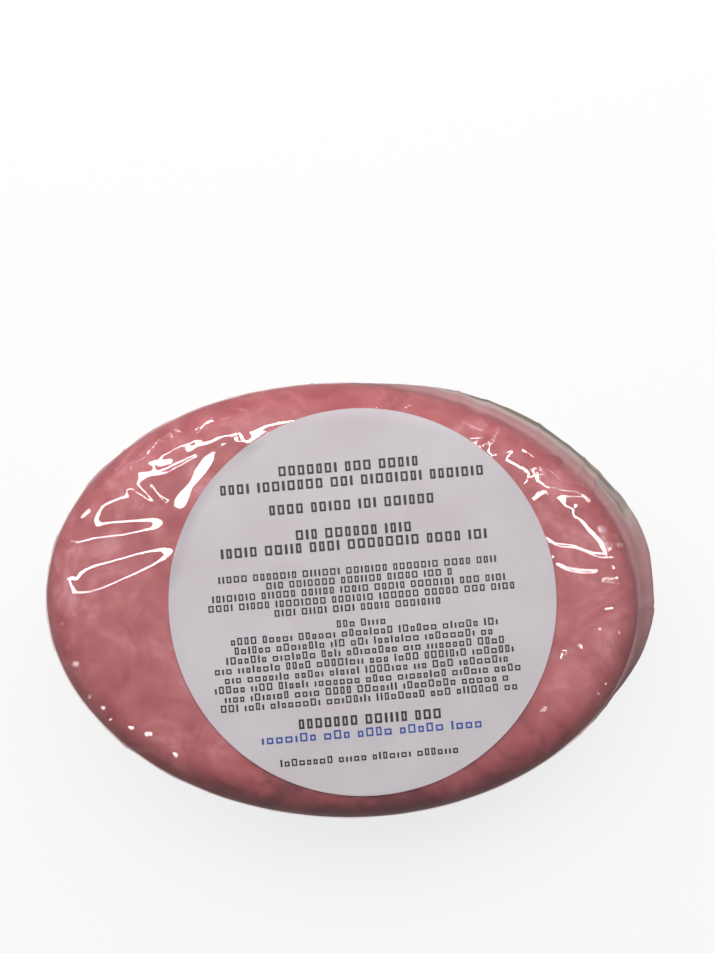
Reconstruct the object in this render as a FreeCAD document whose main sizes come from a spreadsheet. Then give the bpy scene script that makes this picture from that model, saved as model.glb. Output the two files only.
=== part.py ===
"""Oval bar of pink soap in a clear shrink wrap, with a round paper label on its upper face.

Three separate pieces, as they come apart on a bench:
  soap_bar     the poured oval bar, one solid
  shrink_wrap  one closed skin of clear film round the bar, with its tucks and one loose fold
  back_label   a round paper sticker on the outside of the film

Frame, in millimetres: +X along the bar, towards the end where the film stands loose; +Y across
the bar, towards the top of the label's print; +Z up, out of the labelled face. The origin is in
the middle of the bar, on the flat underside of the film, where the pack rests.
"""

import FreeCAD, Part
import math
import os
import Sketcher

# Driving sizes: the name of the sheet's cell, its value and what it is. Lengths in millimetres,
# angles in degrees.
SIZES = [
    ("soap_length", 80.5, "length of the bar's oval outline"),
    ("soap_width", 59.0, "width of the bar's oval outline"),
    ("soap_thickness", 24.0, "thickness of the bar between its flat faces"),
    ("face_rounding", 5.5, "radius round the edge of the labelled face"),
    ("base_rounding", 8.0, "radius round the edge of the moulded underside"),
    ("film_gauge", 0.1, "thickness of the film"),
    ("film_slack", 0.15, "gap between the bar's curved side and the film"),
    ("tuck_count", 48, "number of tucks in the film round the bar"),
    ("tuck_height", 0.35, "height of the tallest tuck above its valleys"),
    ("fold_reach", 3.8, "how far the loose fold's crest stands out where it is widest"),
    ("label_diameter", 50.8, "diameter of the round label"),
    ("label_thickness", 0.1, "thickness of the paper label"),
    ("label_shift_x", 2.7, "label's centre from the bar's centre, along the bar"),
    ("label_shift_y", 0.5, "label's centre from the bar's centre, across the bar"),
]

# The loose fold's outline seen from above: angles from +X towards +Y, and how far the crest
# stands out at each as a share of its reach. It runs straight from one to the next.
FOLD_OUTLINE = [
    (-60, 0.0),
    (-36, 0.36),
    (-12, 0.76),
    (18, 1.0),
    (30, 0.66),
    (54, 0.57),
    (78, 0.14),
    (92, 0.0),
]

ARC_STEPS = 5  # flat strips of film round each rounded edge of the bar
FLAT_EDGE_SHARE = 0.6  # where the film leaves the flat face, as a share of its first strip
TUCK_LEAST = 0.45  # the shortest tuck, as a share of the tallest
TUCK_BEATS = (2.7, 1.3)  # two waves, in radians a crease, that make the tucks' heights uneven
FOLD_AT_WALL = 0.45  # the fold's reach at the two ends of the bar's straight wall, as a share
CREST_UP_WALL = 0.75  # where the fold's crest runs, as a share of the straight wall's height

doc = FreeCAD.newDocument("soap_pack")
sheet = doc.addObject("Spreadsheet::Sheet", "sizes")


def fill_sheet():
    """Writes each driving size to the sheet, with its name beside it."""
    for row, (alias, value, meaning) in enumerate(SIZES, start=1):
        sheet.set(f"A{row}", meaning)
        sheet.set(f"B{row}", str(value))
        sheet.setAlias(f"B{row}", alias)
    doc.recompute()


def size(alias):
    """Reads one driving size from the sheet as a number."""
    return float(sheet.get(alias))


def origin_plane(body, role):
    """Finds one of a body's own origin planes, such as XY_Plane."""
    return next(f for f in body.Origin.OriginFeatures if f.Role == role)


def flat_sketch(body, name):
    """Starts a sketch on the XY plane of a body."""
    sketch = body.newObject("Sketcher::SketchObject", name)
    sketch.AttachmentSupport = [(origin_plane(body, "XY_Plane"), "")]
    sketch.MapMode = "FlatFace"
    return sketch


def bind(sketch, constraint, name, expression):
    """Adds a sized constraint to a sketch and ties it to a cell of the sheet."""
    index = sketch.addConstraint(constraint)
    sketch.renameConstraint(index, name)
    sketch.setExpression(f".Constraints.{name}", expression)


def centre_outline(sketch):
    """Holds the centre of a sketch's first curve at the sketch's own origin."""
    sketch.addConstraint(Sketcher.Constraint("Coincident", 0, 3, -1, 1))


def closed_edges_at(shape, height):
    """Names the closed edges of a shape that lie flat at one height."""
    names = []
    for number, edge in enumerate(shape.Edges, start=1):
        box = edge.BoundBox
        level = abs(box.ZMin - height) < 1e-6 and abs(box.ZMax - height) < 1e-6
        if level and edge.isClosed():
            names.append(f"Edge{number}")
    return names


def round_edges(body, base, name, height, expression):
    """Rounds the closed edges of a feature that lie at one height."""
    rounding = body.newObject("PartDesign::Fillet", name)
    rounding.Base = (base, closed_edges_at(base.Shape, height))
    rounding.setExpression("Radius", expression)
    doc.recompute()
    return rounding


def make_soap():
    """The poured bar: an oval pad with a small rounding at the label and a larger one below."""
    body = doc.addObject("PartDesign::Body", "soap_bar")
    sketch = flat_sketch(body, "soap_outline")
    half_length = size("soap_length") / 2
    half_width = size("soap_width") / 2
    centre = FreeCAD.Vector(0, 0, 0)
    sketch.addGeometry(Part.Ellipse(centre, half_length, half_width))
    sketch.exposeInternalGeometry(0)
    long_axis, short_axis = 1, 2
    centre_outline(sketch)
    sketch.addConstraint(Sketcher.Constraint("Horizontal", long_axis))
    length = Sketcher.Constraint("Distance", long_axis, size("soap_length"))
    bind(sketch, length, "length", "sizes.soap_length")
    width = Sketcher.Constraint("Distance", short_axis, size("soap_width"))
    bind(sketch, width, "width", "sizes.soap_width")
    pad = body.newObject("PartDesign::Pad", "soap_pad")
    pad.Profile = sketch
    pad.setExpression("Length", "sizes.soap_thickness")
    doc.recompute()
    face = round_edges(body, pad, "face_edge", size("soap_thickness"), "sizes.face_rounding")
    round_edges(body, face, "base_edge", 0.0, "sizes.base_rounding")
    body.setExpression("Placement.Base.z", "sizes.film_gauge")
    return body


def outline_point(turn, offset, height):
    """A point at a distance outside the bar's oval outline.

    turn is the oval's own angle in radians, offset is measured square to the outline, and
    height is above the underside of the pack.
    """
    half_length = size("soap_length") / 2
    half_width = size("soap_width") / 2
    normal = FreeCAD.Vector(math.cos(turn) / half_length, math.sin(turn) / half_width, 0)
    normal.normalize()
    on_oval = FreeCAD.Vector(half_length * math.cos(turn), half_width * math.sin(turn), height)
    return on_oval + normal * offset


def tuck(number):
    """How far one crease of the film stands out: valleys are zero and tucks differ in height."""
    if number % 2 == 0:
        return 0.0
    first, second = TUCK_BEATS
    unevenness = (1 + math.sin(first * number) * math.cos(second * number)) / 2
    return size("tuck_height") * (TUCK_LEAST + (1 - TUCK_LEAST) * unevenness)


def loose_fold(turn):
    """How far the film stands off the bar's side, where the wrap wasn't drawn tight."""
    angle = math.degrees(math.atan2(math.sin(turn), math.cos(turn)))
    for (start, first), (end, last) in zip(FOLD_OUTLINE, FOLD_OUTLINE[1:]):
        if start <= angle <= end:
            share = first + (last - first) * (angle - start) / (end - start)
            return size("fold_reach") * share
    return 0.0


def film_levels(gauge):
    """The levels at which the film is creased, from the underside to the labelled face.

    gauge is zero for the inside of the film and the film's thickness for its outside. Each
    level is (offset from the bar's outline, height, share of the tucks, share of the fold).
    """
    inside_floor = size("film_gauge")
    inside_roof = inside_floor + size("soap_thickness")
    step = math.pi / 2 / ARC_STEPS
    levels = []
    for rounding, flat, out in (
        (size("base_rounding"), inside_floor, -1),
        (size("face_rounding"), inside_roof, 1),
    ):
        centre = flat - out * rounding
        reach = rounding + size("film_slack") + gauge
        edge = []
        first = FLAT_EDGE_SHARE * reach * math.sin(step)
        edge.append((first - rounding, flat + out * gauge, 0.0, 0.0))
        for number in range(1, ARC_STEPS + 1):
            turn = number * step
            offset = reach * math.sin(turn) - rounding
            height = centre + out * reach * math.cos(turn)
            fold_share = FOLD_AT_WALL * math.sin(turn) ** 2
            edge.append((offset, height, math.sin(turn), fold_share))
        levels += edge if out < 0 else edge[::-1]
    above_wall_foot = ARC_STEPS + 1
    wall_offset, foot, *_ = levels[above_wall_foot - 1]
    head = levels[above_wall_foot][1]
    crest = foot + CREST_UP_WALL * (head - foot)
    levels.insert(above_wall_foot, (wall_offset, crest, 1.0, 1.0))
    return levels


def crease_ring(level, name):
    """One closed ring of creases of the film, at one level."""
    offset, height, tuck_share, fold_share = level
    count = 2 * int(size("tuck_count"))
    points = []
    for number in range(count):
        turn = 2 * math.pi * number / count
        out = offset + tuck_share * tuck(number) + fold_share * loose_fold(turn)
        points.append(outline_point(turn, out, height))
    ring = doc.addObject("Part::Feature", name)
    ring.Shape = Part.makePolygon(points + points[:1])
    return ring


def film_surface(gauge, name):
    """The solid inside one face of the film, as flat strips between its rings of creases."""
    levels = film_levels(gauge)
    rings = [crease_ring(level, f"{name}_ring_{n}") for n, level in enumerate(levels)]
    solid = doc.addObject("Part::Loft", name)
    solid.Sections = rings
    solid.Solid = True
    solid.Ruled = True
    return solid


def make_wrap():
    """The shrink film: one solid between its outer face and its inner face, a film's gauge apart."""
    outside = film_surface(size("film_gauge"), "film_outside")
    inside = film_surface(0.0, "film_inside")
    doc.recompute()
    hollow = inside.Shape.Shells[0].reversed()
    wrap = doc.addObject("Part::Feature", "shrink_wrap")
    wrap.Shape = Part.Solid(Part.makeCompound([outside.Shape.Shells[0], hollow]))
    return wrap


def make_label():
    """The round paper label, flat on the film over the bar's upper face."""
    body = doc.addObject("PartDesign::Body", "back_label")
    sketch = flat_sketch(body, "label_outline")
    centre = FreeCAD.Vector(0, 0, 0)
    up = FreeCAD.Vector(0, 0, 1)
    sketch.addGeometry(Part.Circle(centre, up, size("label_diameter") / 2))
    centre_outline(sketch)
    diameter = Sketcher.Constraint("Diameter", 0, size("label_diameter"))
    bind(sketch, diameter, "diameter", "sizes.label_diameter")
    pad = body.newObject("PartDesign::Pad", "label_paper")
    pad.Profile = sketch
    pad.setExpression("Length", "sizes.label_thickness")
    body.setExpression("Placement.Base.x", "sizes.label_shift_x")
    body.setExpression("Placement.Base.y", "sizes.label_shift_y")
    body.setExpression("Placement.Base.z", "sizes.soap_thickness + 2 * sizes.film_gauge")
    return body


def check_and_write(pieces):
    """Stops if any object failed to build, then writes each piece to its own STEP file."""
    doc.recompute()
    for item in doc.Objects:
        if "Invalid" in item.State or "Error" in item.State:
            raise RuntimeError(f"{item.Label} failed to build: {item.State}")
    os.makedirs("parts", exist_ok=True)
    for piece in pieces:
        shape = piece.Shape
        if shape.isNull() or not shape.isValid() or not shape.Solids:
            raise RuntimeError(f"{piece.Label} has no valid solid")
        shape.exportStep(f"parts/{piece.Label}.step")
        box = shape.BoundBox
        print(
            f"{piece.Label}: {len(shape.Solids)} solid, {shape.Volume:.0f} mm3, "
            f"{box.XLength:.2f} x {box.YLength:.2f} x {box.ZLength:.2f} mm"
        )


fill_sheet()
check_and_write([make_soap(), make_wrap(), make_label()])
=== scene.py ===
"""Dresses the wrapped bar of soap: the poured bar, its clear shrink film, its round paper label.

Lengths inside the classes are in millimetres, in the part's own frame, and turn into metres
where a mesh, a lamp or the camera is made.
"""

import logging
import math
import random
from dataclasses import dataclass
from enum import Enum

import bpy
import numpy as np
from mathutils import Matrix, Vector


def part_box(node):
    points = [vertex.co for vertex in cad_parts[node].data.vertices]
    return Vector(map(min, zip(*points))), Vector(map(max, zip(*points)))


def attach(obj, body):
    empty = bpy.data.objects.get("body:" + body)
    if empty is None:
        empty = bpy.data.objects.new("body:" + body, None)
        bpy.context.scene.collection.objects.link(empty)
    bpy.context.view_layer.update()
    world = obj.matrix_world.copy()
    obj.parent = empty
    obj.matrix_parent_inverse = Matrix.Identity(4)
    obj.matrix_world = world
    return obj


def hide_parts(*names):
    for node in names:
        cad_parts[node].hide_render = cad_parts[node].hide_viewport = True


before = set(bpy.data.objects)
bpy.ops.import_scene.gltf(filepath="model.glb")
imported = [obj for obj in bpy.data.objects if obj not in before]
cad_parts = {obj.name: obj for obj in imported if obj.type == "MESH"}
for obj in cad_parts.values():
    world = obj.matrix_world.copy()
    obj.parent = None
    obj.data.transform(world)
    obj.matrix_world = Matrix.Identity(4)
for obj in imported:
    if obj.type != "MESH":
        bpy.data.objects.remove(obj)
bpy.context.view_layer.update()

LOG = logging.getLogger("soap_pack")
MM = 0.001
FULL_TURN = 2 * math.pi
WALL_ROWS_UPWARD = 0.7  # under one, it draws the rows together at the top of the wall


class Node(Enum):
    """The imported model's pieces that are dressed here."""

    SOAP = "soap_bar"
    FILM = "shrink_wrap"
    LABEL = "back_label"


class Slot(Enum):
    """The record's material slots."""

    SOAP = "soap"
    FILM = "film"
    LABEL = "label_paper"


def linear(colour: str) -> tuple[float, float, float, float]:
    """Turns an sRGB hex colour into Blender's linear colour.

    Args:
        colour: the colour as #RRGGBB.

    Returns:
        Red, green, blue and an alpha of one.
    """
    shares = [int(colour[place:place + 2], 16) / 255 for place in (1, 3, 5)]
    channels = [s / 12.92 if s <= 0.04045 else ((s + 0.055) / 1.055) ** 2.4 for s in shares]
    return (channels[0], channels[1], channels[2], 1.0)


def add_node(tree: bpy.types.NodeTree, kind: str, settings: dict = {}, links: dict = {}) -> bpy.types.Node:
    """Adds one shader node with its settings and the links that feed it.

    Args:
        tree: the material's or world's node tree.
        kind: the node's Blender type name.
        settings: node properties, and input sockets by name or number, with their values.
        links: input sockets by name or number, with the output sockets that feed them.

    Returns:
        The new node.
    """
    made = tree.nodes.new(kind)
    for name, value in settings.items():
        if isinstance(name, str) and hasattr(made, name):
            setattr(made, name, value)
        else:
            made.inputs[name].default_value = value
    for name, source in links.items():
        tree.links.new(source, made.inputs[name])
    return made


def new_material(name: str) -> tuple[bpy.types.Material, bpy.types.NodeTree]:
    """Starts an empty node material.

    Args:
        name: the material's name.

    Returns:
        The material and its node tree.
    """
    material = bpy.data.materials.new(name)
    material.use_nodes = True
    material.node_tree.nodes.clear()
    return material, material.node_tree


def ramp_stops(ramp: bpy.types.Node, stops: list[tuple[float, str]]) -> None:
    """Sets the stops of a colour ramp node.

    Args:
        ramp: the colour ramp node.
        stops: places from 0 to 1, each with its sRGB hex colour.
    """
    elements = ramp.color_ramp.elements
    while len(elements) < len(stops):
        elements.new(0.5)
    for element, (place, colour) in zip(elements, stops):
        element.position = place
        element.color = linear(colour)


@dataclass(frozen=True)
class GlycerineSoap:
    """Glycerine soap, poured and set in a mould.

    It gives the eye a waxy, cloudy pink: lighter drifts where the whitener settled, and light
    few millimetres in before it comes back. Its colour is also painted darker towards -Y: a painted shade
    of the bar's dim lower side.
    """

    # The darkest stop is reached mostly where the painted shade pulls the colour down.
    drifts_and_painted_shade: tuple[tuple[float, str], ...] = (
        (0.2, "#7E4147"),
        (0.34, "#A4545A"),
        (0.46, "#AF6166"),
        (0.55, "#B96D72"),
        (0.68, "#CC8991"),
    )
    drift_mm: float = 9.0
    speckle_mm: float = 1.8
    speckle_share: float = 0.22
    skin_mm: float = 1.4
    scatter_mm: float = 1.3
    # Painted shade: along this way the colour is pulled darker towards -Y, as shade on the bar's lower
    # side.
    painted_shade_way: tuple[float, float, float] = (6.0, -32.0, 0.0)
    painted_shade_from: tuple[float, float] = (0.4, 0.9)
    painted_shade_drop: float = -0.27

    def make(self) -> bpy.types.Material:
        """Makes the soap's material."""
        material, tree = new_material("glycerine_soap")
        place = add_node(tree, "ShaderNodeTexCoord")
        drift = add_node(
            tree, "ShaderNodeTexNoise",
            {"Scale": 1 / (self.drift_mm * MM), "Detail": 4.0, "Roughness": 0.6, "Distortion": 1.4},
            {"Vector": place.outputs["Object"]},
        )
        speckle = add_node(
            tree, "ShaderNodeTexNoise",
            {"Scale": 1 / (self.speckle_mm * MM), "Detail": 3.0, "Roughness": 0.6},
            {"Vector": place.outputs["Object"]},
        )
        mixed = add_node(
            tree, "ShaderNodeMix", {"data_type": "FLOAT", 0: self.speckle_share},
            {2: drift.outputs["Fac"], 3: speckle.outputs["Fac"]},
        )
        # Painted shade: darkens the colour smoothly towards -Y.
        painted_shade_along = add_node(
            tree, "ShaderNodeVectorMath", {"operation": "DOT_PRODUCT", 1: self.painted_shade_way},
            {0: place.outputs["Object"]},
        )
        painted_shade = add_node(
            tree, "ShaderNodeMapRange",
            {
                "interpolation_type": "SMOOTHSTEP",
                "From Min": self.painted_shade_from[0],
                "From Max": self.painted_shade_from[1],
                "To Min": 0.0,
                "To Max": self.painted_shade_drop,
            },
            {"Value": painted_shade_along.outputs["Value"]},
        )
        drifts_with_painted_shade = add_node(
            tree, "ShaderNodeMath", {"operation": "ADD"}, {0: mixed.outputs[0], 1: painted_shade.outputs[0]},
        )
        colour = add_node(tree, "ShaderNodeValToRGB", {}, {"Fac": drifts_with_painted_shade.outputs[0]})
        ramp_stops(colour, list(self.drifts_and_painted_shade))
        skin = add_node(
            tree, "ShaderNodeTexNoise",
            {"Scale": 1 / (self.skin_mm * MM), "Detail": 2.0},
            {"Vector": place.outputs["Object"]},
        )
        bump = add_node(
            tree, "ShaderNodeBump", {"Strength": 0.12, "Distance": 0.05 * MM},
            {"Height": skin.outputs["Fac"]},
        )
        shader = add_node(
            tree, "ShaderNodeBsdfPrincipled",
            {
                "subsurface_method": "BURLEY",
                "Roughness": 0.5,
                "IOR": 1.47,
                "Specular IOR Level": 0.12,
                "Subsurface Weight": 0.35,
                "Subsurface Radius": (1.0, 0.32, 0.30),
                "Subsurface Scale": self.scatter_mm * MM,
            },
            {"Base Color": colour.outputs["Color"], "Normal": bump.outputs["Normal"]},
        )
        add_node(tree, "ShaderNodeOutputMaterial", {}, {"Surface": shader.outputs["BSDF"]})
        return material


@dataclass(frozen=True)
class PolyolefinFilm:
    """Polyolefin shrink film, blown thin and drawn tight with hot air.

    It is clear, so the eye sees it by its sharp glints, and by the grey of its loose fold, where
    lie over each other. The mesh says where, in its haze values. Where the haze is low, its pale pink cloud
    is partly the film's own haze and partly painted light over the bar's shaded edge.
    """

    facing_gloss: float = 0.02
    edge_gloss: float = 0.05
    edge_power: float = 5.0
    gloss_roughness: float = 0.03
    tints: tuple[tuple[float, str], ...] = (
        (0.0, "#FCFAF9"),
        (0.15, "#ECD6D7"),
        (0.5, "#CDB2B3"),
        (1.0, "#C6BFB9"),
    )
    # The pale pink low end lays painted light over the bar's shaded edge; the greys above it are the film's
    # own haze.
    cloud_and_painted_light_colours: tuple[tuple[float, str], ...] = (
        (0.3, "#E8A6AA"),
        (0.45, "#CF9A9C"),
        (0.75, "#D2BEBA"),
        (1.0, "#8B8074"),
    )
    cloud_share: float = 0.7
    cloud_full_at: float = 0.42
    crease_mm: tuple[float, float] = (4.0, 0.6)
    crease_depth: float = 0.34

    def make(self) -> bpy.types.Material:
        """Makes the film's material."""
        material, tree = new_material("polyolefin_film")
        edge = add_node(tree, "ShaderNodeLayerWeight", {"Blend": 0.5})
        rise = add_node(
            tree, "ShaderNodeMath", {"operation": "POWER", 1: self.edge_power},
            {0: edge.outputs["Facing"]},
        )
        gloss_share = add_node(
            tree, "ShaderNodeMath",
            {"operation": "MULTIPLY_ADD", 1: self.edge_gloss, 2: self.facing_gloss},
            {0: rise.outputs[0]},
        )
        haze = add_node(tree, "ShaderNodeAttribute", {"attribute_name": FilmMesh.HAZE})
        tint = add_node(tree, "ShaderNodeValToRGB", {}, {"Fac": haze.outputs["Fac"]})
        ramp_stops(tint, list(self.tints))
        clear = add_node(tree, "ShaderNodeBsdfTransparent", {}, {"Color": tint.outputs["Color"]})
        # A diffuse layer: the fold's grey haze, and where the haze is low a pale pink painted light.
        cloud = add_node(tree, "ShaderNodeValToRGB", {}, {"Fac": haze.outputs["Fac"]})
        ramp_stops(cloud, list(self.cloud_and_painted_light_colours))
        cloudy_and_painted_light = add_node(tree, "ShaderNodeBsdfDiffuse", {}, {"Color": cloud.outputs["Color"]})
        cloud_share = add_node(
            tree, "ShaderNodeMapRange",
            {"From Min": 0.0, "From Max": self.cloud_full_at, "To Min": 0.0, "To Max": self.cloud_share},
            {"Value": haze.outputs["Fac"]},
        )
        body = add_node(
            tree, "ShaderNodeMixShader", {},
            {0: cloud_share.outputs[0], 1: clear.outputs[0], 2: cloudy_and_painted_light.outputs[0]},
        )
        glint = add_node(
            tree, "ShaderNodeBsdfGlossy",
            {"Color": linear("#FFFFFF"), "Roughness": self.gloss_roughness},
            {"Normal": self.fine_creases(tree)},
        )
        shader = add_node(
            tree, "ShaderNodeMixShader", {},
            {0: gloss_share.outputs[0], 1: body.outputs[0], 2: glint.outputs[0]},
        )
        add_node(tree, "ShaderNodeOutputMaterial", {}, {"Surface": shader.outputs[0]})
        return material


    def fine_creases(self, tree: bpy.types.NodeTree) -> bpy.types.NodeSocket:
        """The creases along the rim that are too fine for the mesh, as a bumped normal.

        Args:
            tree: the film's node tree.

        Returns:
            The socket that gives the normal.
        """
        wrap = add_node(tree, "ShaderNodeAttribute", {"attribute_name": FilmMesh.WRAP})
        along, across = self.crease_mm
        scaled = add_node(
            tree, "ShaderNodeVectorMath", {"operation": "MULTIPLY", 1: (1 / along, 1 / across, 1.0)},
            {0: wrap.outputs["Vector"]},
        )
        noise = add_node(
            tree, "ShaderNodeTexNoise",
            {"noise_dimensions": "2D", "Scale": 1.0, "Detail": 2.0, "Roughness": 0.6},
            {"Vector": scaled.outputs["Vector"]},
        )
        crumple = add_node(tree, "ShaderNodeAttribute", {"attribute_name": FilmMesh.CRUMPLE})
        bump = add_node(
            tree, "ShaderNodeBump", {"Distance": self.crease_depth * MM},
            {"Height": noise.outputs["Fac"], "Strength": crumple.outputs["Fac"]},
        )
        return bump.outputs["Normal"]


@dataclass(frozen=True)
class UncoatedPaper:
    """Uncoated label paper, pressed and dull, which gives the eye an even off-white with faint fibre."""

    pale: str = "#CBC4C9"
    deep: str = "#C4BCC1"
    fibre_mm: float = 0.35
    cloud_mm: float = 9.0

    def make(self) -> bpy.types.Material:
        """Makes the paper's material."""
        material, tree = new_material("uncoated_paper")
        place = add_node(tree, "ShaderNodeTexCoord")
        cloud = add_node(
            tree, "ShaderNodeTexNoise",
            {"Scale": 1 / (self.cloud_mm * MM), "Detail": 4.0},
            {"Vector": place.outputs["Object"]},
        )
        colour = add_node(tree, "ShaderNodeValToRGB", {}, {"Fac": cloud.outputs["Fac"]})
        ramp_stops(colour, [(0.35, self.deep), (0.65, self.pale)])
        fibre = add_node(
            tree, "ShaderNodeTexNoise",
            {"Scale": 1 / (self.fibre_mm * MM), "Detail": 3.0},
            {"Vector": place.outputs["Object"]},
        )
        bump = add_node(
            tree, "ShaderNodeBump", {"Strength": 0.3, "Distance": 0.02 * MM},
            {"Height": fibre.outputs["Fac"]},
        )
        shader = add_node(
            tree, "ShaderNodeBsdfPrincipled",
            {"Roughness": 0.85, "IOR": 1.45, "Specular IOR Level": 0.2},
            {"Base Color": colour.outputs["Color"], "Normal": bump.outputs["Normal"]},
        )
        add_node(tree, "ShaderNodeOutputMaterial", {}, {"Surface": shader.outputs["BSDF"]})
        return material


@dataclass(frozen=True)
class TonerInk:
    """Laser toner, fused to the paper, which gives the eye dull marks, a little worn and uneven."""

    name: str
    colour: str
    worn: str

    def make(self) -> bpy.types.Material:
        """Makes the ink's material."""
        material, tree = new_material(self.name)
        place = add_node(tree, "ShaderNodeTexCoord")
        wear = add_node(
            tree, "ShaderNodeTexNoise", {"Scale": 1 / (0.6 * MM), "Detail": 2.0},
            {"Vector": place.outputs["Object"]},
        )
        colour = add_node(tree, "ShaderNodeValToRGB", {}, {"Fac": wear.outputs["Fac"]})
        ramp_stops(colour, [(0.45, self.colour), (0.8, self.worn)])
        shader = add_node(
            tree, "ShaderNodeBsdfPrincipled", {"Roughness": 0.6, "Specular IOR Level": 0.2},
            {"Base Color": colour.outputs["Color"]},
        )
        add_node(tree, "ShaderNodeOutputMaterial", {}, {"Surface": shader.outputs["BSDF"]})
        return material


@dataclass(frozen=True)
class StudioBoard:
    """Painted studio board under the pack: white to the eye and in reflections, with a soft shadow."""

    paint: str = "#F2F1F0"
    bounce: str = "#2E2D2C"
    own_light: float = 0.8

    def make(self) -> bpy.types.Material:
        """Makes the floor's material."""
        material, tree = new_material("studio_board")
        path = add_node(tree, "ShaderNodeLightPath")
        seen = add_node(
            tree, "ShaderNodeMath", {"operation": "MAXIMUM"},
            {0: path.outputs["Is Camera Ray"], 1: path.outputs["Is Glossy Ray"]},
        )
        seen_at_all = add_node(
            tree, "ShaderNodeMath", {"operation": "MAXIMUM"},
            {0: seen.outputs[0], 1: path.outputs["Is Transmission Ray"]},
        )
        paint = add_node(tree, "ShaderNodeBsdfDiffuse", {"Color": linear(self.paint)})
        white = add_node(tree, "ShaderNodeEmission", {"Color": linear("#FFFFFF"), "Strength": 1.0})
        board = add_node(
            tree, "ShaderNodeMixShader", {0: self.own_light}, {1: paint.outputs[0], 2: white.outputs[0]},
        )
        bounce = add_node(tree, "ShaderNodeBsdfDiffuse", {"Color": linear(self.bounce)})
        shader = add_node(
            tree, "ShaderNodeMixShader", {},
            {0: seen_at_all.outputs[0], 1: bounce.outputs[0], 2: board.outputs[0]},
        )
        add_node(tree, "ShaderNodeOutputMaterial", {}, {"Surface": shader.outputs[0]})
        return material


class Waves:
    """Smooth random heights over a plane, the same each time for one seed."""

    CELLS = 256

    def __init__(self, seed: int) -> None:
        """Draws the heights of the plane's grid points."""
        self.grid = np.random.default_rng(seed).uniform(-1, 1, (self.CELLS, self.CELLS))

    def at(self, along: np.ndarray, across: np.ndarray, period: int = CELLS) -> np.ndarray:
        """Reads the heights at some points.

        Args:
            along: the points' first coordinate, in grid cells.
            across: the points' second coordinate, in grid cells.
            period: after how many cells the first coordinate repeats.

        Returns:
            Heights from -1 to 1.
        """
        left = np.floor(along).astype(int)
        low = np.floor(across).astype(int)
        u = along - left
        v = across - low
        u = u * u * u * (u * (u * 6 - 15) + 10)
        v = v * v * v * (v * (v * 6 - 15) + 10)
        l0, l1 = left % period, (left + 1) % period
        a0, a1 = low % self.CELLS, (low + 1) % self.CELLS
        bottom = self.grid[l0, a0] * (1 - u) + self.grid[l1, a0] * u
        top = self.grid[l0, a1] * (1 - u) + self.grid[l1, a1] * u
        return bottom * (1 - v) + top * v


class Crumple:
    """A net of creases between scattered points, as crumpled film shows."""

    def __init__(self, seed: int) -> None:
        """Draws the scatter of the points."""
        self.scatter = np.random.default_rng(seed).uniform(0.1, 0.9, (256, 256, 2))

    def border(self, along: np.ndarray, across: np.ndarray, period: int = 256) -> np.ndarray:
        """How far each place is from the nearest crease.

        Args:
            along: the places' first coordinate, in cells.
            across: the places' second coordinate, in cells.
            period: after how many cells the first coordinate repeats.

        Returns:
            Zero on a crease, growing away from it, in cells.
        """
        left = np.floor(along).astype(int)
        low = np.floor(across).astype(int)
        near = np.full(along.shape, 9.0)
        second = np.full(along.shape, 9.0)
        for i in (-1, 0, 1):
            for j in (-1, 0, 1):
                jitter = self.scatter[(left + i) % period, (low + j) % 256]
                far = np.hypot(left + i + jitter[..., 0] - along, low + j + jitter[..., 1] - across)
                second = np.minimum(second, np.maximum(near, far))
                near = np.minimum(near, far)
        return second - near


def smooth_step(low: float, high: float, value: np.ndarray) -> np.ndarray:
    """Rises smoothly from 0 at low to 1 at high.

    Args:
        low: where the rise starts.
        high: where the rise ends. It may be less than low.
        value: the places to read.

    Returns:
        The share at each place.
    """
    share = np.clip((value - low) / (high - low), 0, 1)
    return share * share * (3 - 2 * share)


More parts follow.
